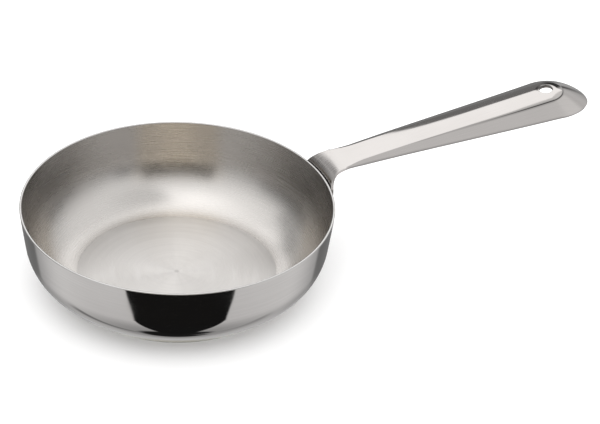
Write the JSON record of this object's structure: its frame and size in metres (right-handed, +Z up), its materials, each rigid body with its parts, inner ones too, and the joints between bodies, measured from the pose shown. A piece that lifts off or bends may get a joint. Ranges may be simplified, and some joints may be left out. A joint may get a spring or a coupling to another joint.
{
  "type": "frying pan",
  "caption": "Small round stainless-steel frying pan with a rounded bowl, a capped disc base and a pressed sheet handle with a hanging hole.",
  "frame": {"origin": "centre of the base's underside, on the surface that the pan rests on", "axes": "+Z up, out of the bowl; +X from the pan's axis along the handle; +Y to the left, seen from above with the handle pointing right"},
  "size_m": [0.2732, 0.14, 0.0573],
  "materials": {
    "pan_steel": "circular brushed inside, mirror polished outside",
    "base_steel": "satin",
    "disc_aluminium": "plain rolled, hidden inside the base",
    "handle_steel": "fine brushed, polished creases",
    "weld_steel": "dull fused steel, hidden behind the handle's pad"
  },
  "bodies": {
    "root": {"pan_body": "pan_steel", "base_cap": "base_steel", "heat_spreader_disc": "disc_aluminium", "handle": "handle_steel", "weld_spot_lower_left": "weld_steel", "weld_spot_lower_right": "weld_steel", "weld_spot_upper_left": "weld_steel", "weld_spot_upper_right": "weld_steel"}
  },
  "joints": []
}
